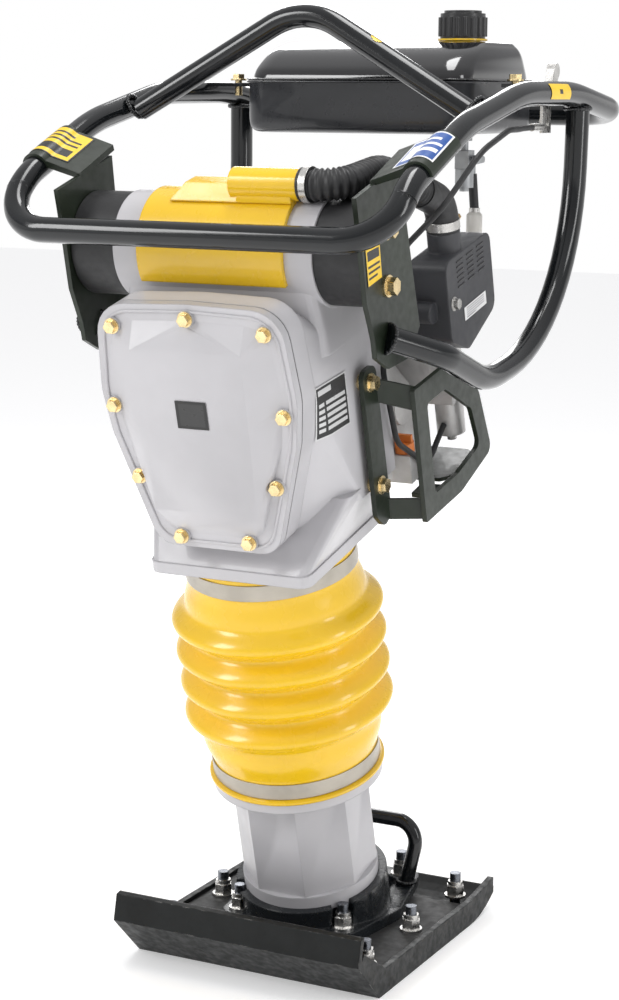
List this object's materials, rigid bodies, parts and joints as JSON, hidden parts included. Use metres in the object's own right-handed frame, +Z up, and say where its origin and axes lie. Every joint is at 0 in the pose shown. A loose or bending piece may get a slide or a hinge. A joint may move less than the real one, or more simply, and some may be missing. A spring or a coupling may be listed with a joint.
{
  "type": "jumping jack rammer",
  "caption": "Upright trench rammer: tamping shoe, leaning sprung leg with bellows, crankcase, petrol engine, tubular handle and fuel tank.",
  "frame": {"origin": "on the ground under the middle of the flat sole, where the shoe rests", "axes": "+Z up, -Y the way the machine travels, +X its left side"},
  "size_m": [0.445, 0.6308, 0.9893],
  "materials": {
    "shoe_steel": "worn satin",
    "pad_black": "matte",
    "zinc": "satin",
    "stud_black": "satin",
    "casting_black": "gloss paint",
    "tube_black": "gloss",
    "leg_grey": "satin",
    "case_grey": "satin paint",
    "steel_bright": "machined",
    "spring_steel": "oiled",
    "band_steel": "satin",
    "bellows_yellow": "gloss",
    "gasket": "matte",
    "gold_zinc": "satin",
    "yellow_plastic": "gloss",
    "filter_paper": "matte",
    "rubber_black": "matte",
    "engine_alu": "cast",
    "plastic_black": "fine texture",
    "muffler_black": "matte",
    "rope": "braided",
    "cap_orange": "satin",
    "guard_green": "satin",
    "tank_gloss": "gloss",
    "tank_grey": "satin",
    "cap_black": "ribbed",
    "valve_grey": "cast"
  },
  "bodies": {
    "foot": {"shoe_plate": "shoe_steel", "shoe_pad": "pad_black", "shoe_studs": "stud_black", "shoe_nuts": "zinc", "foot_casting": "casting_black", "foot_handle": "tube_black", "leg_tube": "leg_grey", "spring_cylinder": "steel_bright", "cylinder_cap": "steel_bright", "lower_spring": "spring_steel", "upper_spring": "spring_steel", "lower_band": "band_steel", "bellows": "bellows_yellow"},
    "upper": {"upper_band": "band_steel", "crankcase": "case_grey", "cover_gasket": "gasket", "front_cover": "case_grey", "case_bolts": "gold_zinc", "filter_cover": "yellow_plastic", "filter_element": "filter_paper", "bearings": "steel_bright", "rubber_mounts": "rubber_black", "engine_block": "engine_alu", "cylinder_head": "engine_alu", "fan_housing": "plastic_black", "starter_rope": "rope", "muffler": "muffler_black", "carburettor": "engine_alu", "spark_plug": "rubber_black", "air_box": "plastic_black", "intake_hose": "rubber_black", "engine_guard": "guard_green"},
    "crank": {"crank_gear": "steel_bright"},
    "drum": {"clutch_drum": "steel_bright"},
    "shaft": {"engine_shaft": "steel_bright"},
    "shoe_left": {"clutch_shoe_left": "engine_alu"},
    "shoe_right": {"clutch_shoe_right": "engine_alu"},
    "piston": {"piston_rod": "steel_bright", "wrist_pin": "steel_bright"},
    "rod": {"con_rod": "engine_alu", "crank_pin": "steel_bright"},
    "pulley": {"starter_pulley": "plastic_black"},
    "grip": {"starter_grip": "rubber_black"},
    "choke": {"choke_lever": "zinc"},
    "oil_plug": {"oil_cap": "cap_orange"},
    "handle": {"handle_loop": "tube_black", "lifting_bar": "tube_black", "guard_tubes": "tube_black", "side_plates": "guard_green", "plate_bolts": "gold_zinc", "tank_brackets": "tube_black", "tank_lower": "tank_grey", "tank_upper": "tank_gloss", "fuel_valve": "valve_grey", "throttle_bracket": "zinc", "cables_hoses": "rubber_black"},
    "throttle": {"throttle_lever": "zinc"},
    "cap_seat": {"cap_ring": "yellow_plastic"},
    "cap": {"fuel_cap": "cap_black"},
    "valve": {"valve_lever": "valve_grey"}
  },
  "joints": [
    {"name": "leg_stroke", "type": "slide", "parent": "foot", "child": "upper", "axis": [0, -0.2497, 0.9683], "range_m": [-0.035, 0.04], "stiffness_N_per_m": 30000, "springref_m": 0.0158, "deforming": ["bellows"]},
    {"name": "crank_turn", "type": "hinge", "parent": "upper", "child": "crank", "pos_m": [0, -0.10832, 0.64424], "axis": [0, 0.9683, 0.2497], "continuous": true},
    {"name": "drum_turn", "type": "hinge", "parent": "upper", "child": "drum", "pos_m": [0, -0.08856, 0.5676], "axis": [0, 0.9683, 0.2497], "continuous": true},
    {"name": "engine_turn", "type": "hinge", "parent": "upper", "child": "shaft", "pos_m": [0, 0.01796, 0.59506], "axis": [0, 0.9683, 0.2497], "continuous": true},
    {"name": "shoe_left_out", "type": "slide", "parent": "shaft", "child": "shoe_left", "axis": [1, 0, 0], "range_m": [0, 0.0012], "stiffness_N_per_m": 3000, "springref_m": -0.002},
    {"name": "shoe_right_out", "type": "slide", "parent": "shaft", "child": "shoe_right", "axis": [-1, 0, 0], "range_m": [0, 0.0012]},
    {"name": "piston_slide", "type": "slide", "parent": "upper", "child": "piston", "axis": [0, -0.2497, 0.9683], "range_m": [0, 0.06], "deforming": ["lower_spring", "upper_spring"]},
    {"name": "rod_swing", "type": "hinge", "parent": "piston", "child": "rod", "pos_m": [0, -0.11834, 0.52289], "axis": [0, 0.9683, 0.2497], "range_deg": [-20.5, 20.5]},
    {"name": "pull_rope", "type": "slide", "parent": "upper", "child": "grip", "axis": [0, 0, 1], "range_m": [0, 0.12], "stiffness_N_per_m": 80, "springref_m": -0.15, "deforming": ["starter_rope"]},
    {"name": "pulley_turn", "type": "hinge", "parent": "upper", "child": "pulley", "pos_m": [0, 0.13415, 0.62503], "axis": [0, 0.9683, 0.2497], "range_deg": [0, 192]},
    {"name": "choke_swing", "type": "hinge", "parent": "upper", "child": "choke", "pos_m": [0.092, 0.06588, 0.66954], "axis": [0, 0.9683, 0.2497], "range_deg": [0, 55]},
    {"name": "oil_plug_turn", "type": "hinge", "parent": "upper", "child": "oil_plug", "pos_m": [0.1075, -0.00739, 0.54118], "axis": [0, -0.2497, 0.9683], "range_deg": [0, 360]},
    {"name": "handle_rock", "type": "hinge", "parent": "upper", "child": "handle", "pos_m": [0, -0.16754, 0.75455], "axis": [1, 0, 0], "range_deg": [-3, 3], "stiffness_Nm_per_rad": 1500, "springref_deg": 0.97, "deforming": ["cables_hoses"]},
    {"name": "throttle_swing", "type": "hinge", "parent": "handle", "child": "throttle", "pos_m": [0.1845, 0.165, 0.872], "axis": [-1, 0, 0], "range_deg": [0, 62]},
    {"name": "cap_lift", "type": "slide", "parent": "handle", "child": "cap_seat", "axis": [0, 0, 1], "range_m": [0, 0.006]},
    {"name": "cap_turn", "type": "hinge", "parent": "cap_seat", "child": "cap", "pos_m": [0.082, 0.18, 0.96], "axis": [0, 0, 1], "range_deg": [0, 541]},
    {"name": "valve_turn", "type": "hinge", "parent": "handle", "child": "valve", "pos_m": [0.09, 0.186, 0.832], "axis": [1, 0, 0], "range_deg": [-90, 0]}
  ],
  "couplings": [
    {"joint": "drum_turn", "follows": "crank_turn", "ratio": -5.0769},
    {"joint": "shoe_right_out", "follows": "shoe_left_out", "ratio": 1},
    {"joint": "pulley_turn", "follows": "pull_rope", "rad_per_m": 27.778},
    {"joint": "cap_turn", "follows": "cap_lift", "rad_per_m": 1570.8}
  ]
}
